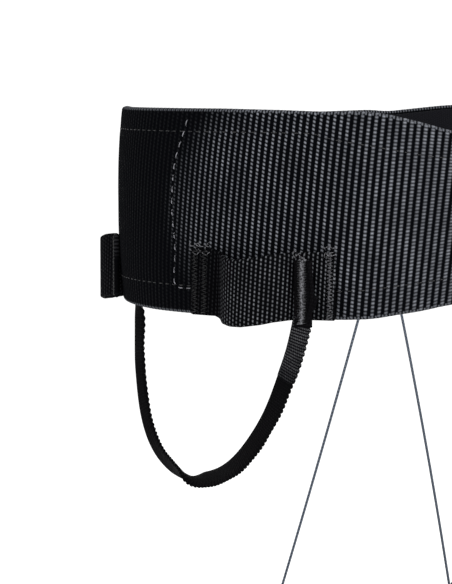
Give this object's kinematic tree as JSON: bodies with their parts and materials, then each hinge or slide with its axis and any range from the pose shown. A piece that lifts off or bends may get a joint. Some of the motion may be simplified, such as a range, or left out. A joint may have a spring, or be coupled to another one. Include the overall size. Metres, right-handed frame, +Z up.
{
  "type": "climbing harness",
  "caption": "Sit harness with a wide ribbed-webbing waist belt, tie-in and belay loops, tape gear loops, clip tunnels and buckled leg loops on elastic risers.",
  "frame": {"origin": "centre of the waist opening at half the belt's height", "axes": "+Z up along the waist opening, the wearer faces -Y and the wearer's left is +X"},
  "size_m": [0.3662, 0.2974, 0.3155],
  "materials": {
    "belt_webbing": "ribbed contour-woven polyester, black with grey glints",
    "edge_webbing": "flat 25 mm nylon webbing, black",
    "strap_webbing": "flat nylon strap webbing, black",
    "gear_tape": "narrow woven tape with a scalloped edge, black",
    "load_webbing": "dense load-bearing webbing, black with grey stitching",
    "lining": "smooth knitted lining, black",
    "foam": "closed-cell foam",
    "wear_guard": "smooth low-friction sleeve, grey",
    "buckle_metal": "hard-anodised aluminium, satin grey",
    "elastic_cord": "thin braided elastic cord, slate grey",
    "elastic_band": "woven elastic band, black"
  },
  "bodies": {
    "root": {"waist_belt_webbing": "belt_webbing", "waist_belt_foam": "foam", "waist_belt_lining": "lining", "waist_strap": "strap_webbing", "waist_buckle_frame": "buckle_metal", "waist_buckle_loop": "strap_webbing", "waist_keeper_front": "elastic_band", "waist_keeper_rear": "elastic_band", "upper_tie_in_loop": "load_webbing", "upper_wear_guard": "wear_guard", "lower_tie_in_loop": "load_webbing", "lower_wear_guard": "wear_guard", "haul_loop_base": "strap_webbing", "riser_anchor": "strap_webbing", "clip_tunnel_front_left": "edge_webbing", "clip_tunnel_rear_left": "edge_webbing", "gear_loop_end_front_left": "gear_tape", "gear_loop_end_rear_left": "gear_tape", "riser_cord_left": "elastic_cord", "clip_tunnel_front_right": "edge_webbing", "clip_tunnel_rear_right": "edge_webbing", "gear_loop_end_front_right": "gear_tape", "gear_loop_end_rear_right": "gear_tape", "riser_cord_right": "elastic_cord"},
    "belay_loop": {"belay_loop": "load_webbing"},
    "haul_loop": {"haul_loop": "strap_webbing"},
    "waist_slider": {"waist_buckle_slider": "buckle_metal"},
    "gear_loop_left": {"gear_loop_left": "gear_tape"},
    "leg_left": {"leg_webbing_left": "belt_webbing", "leg_foam_left": "foam", "leg_lining_left": "lining", "leg_strap_left": "strap_webbing", "leg_buckle_frame_left": "buckle_metal", "leg_buckle_loop_left": "strap_webbing", "leg_keeper_left": "elastic_band", "riser_tab_left": "strap_webbing", "leg_bridge_left": "load_webbing"},
    "leg_slider_left": {"leg_buckle_slider_left": "buckle_metal"},
    "gear_loop_right": {"gear_loop_right": "gear_tape"},
    "leg_right": {"leg_webbing_right": "belt_webbing", "leg_foam_right": "foam", "leg_lining_right": "lining", "leg_strap_right": "strap_webbing", "leg_buckle_frame_right": "buckle_metal", "leg_buckle_loop_right": "strap_webbing", "leg_keeper_right": "elastic_band", "riser_tab_right": "strap_webbing", "leg_bridge_right": "load_webbing"},
    "leg_slider_right": {"leg_buckle_slider_right": "buckle_metal"}
  },
  "joints": [
    {"name": "belay_loop_lift", "type": "slide", "parent": "root", "child": "belay_loop", "axis": [0, 0, 1], "range_m": [0, 0.005]},
    {"name": "haul_loop_swing", "type": "hinge", "parent": "root", "child": "haul_loop", "pos_m": [0, 0.12, 0.019], "axis": [1, 0, 0], "range_deg": [0, 75]},
    {"name": "waist_slider_release", "type": "slide", "parent": "root", "child": "waist_slider", "axis": [-0.9479, -0.3185, 0], "range_m": [0, 0.002]},
    {"name": "gear_loop_left_swing", "type": "hinge", "parent": "root", "child": "gear_loop_left", "pos_m": [0.11935, -0.01083, -0.042], "axis": [-0.1442, -0.9895, 0], "range_deg": [0, 75]},
    {"name": "gear_loop_right_swing", "type": "hinge", "parent": "root", "child": "gear_loop_right", "pos_m": [-0.11935, -0.01083, -0.042], "axis": [-0.1442, 0.9895, 0], "range_deg": [0, 75]},
    {"name": "leg_left_swing", "type": "hinge", "parent": "root", "child": "leg_left", "pos_m": [0, -0.1166, -0.088], "axis": [1, 0, 0], "range_deg": [0, 20], "deforming": ["riser_cord_left"]},
    {"name": "leg_right_swing", "type": "hinge", "parent": "root", "child": "leg_right", "pos_m": [0, -0.1166, -0.088], "axis": [1, 0, 0], "range_deg": [0, 20], "deforming": ["riser_cord_right"]},
    {"name": "leg_slider_left_release", "type": "slide", "parent": "leg_left", "child": "leg_slider_left", "axis": [-0.7994, -0.5714, 0.1857], "range_m": [0, 0.002]},
    {"name": "leg_slider_right_release", "type": "slide", "parent": "leg_right", "child": "leg_slider_right", "axis": [0.7994, -0.5714, 0.1857], "range_m": [0, 0.002]}
  ]
}
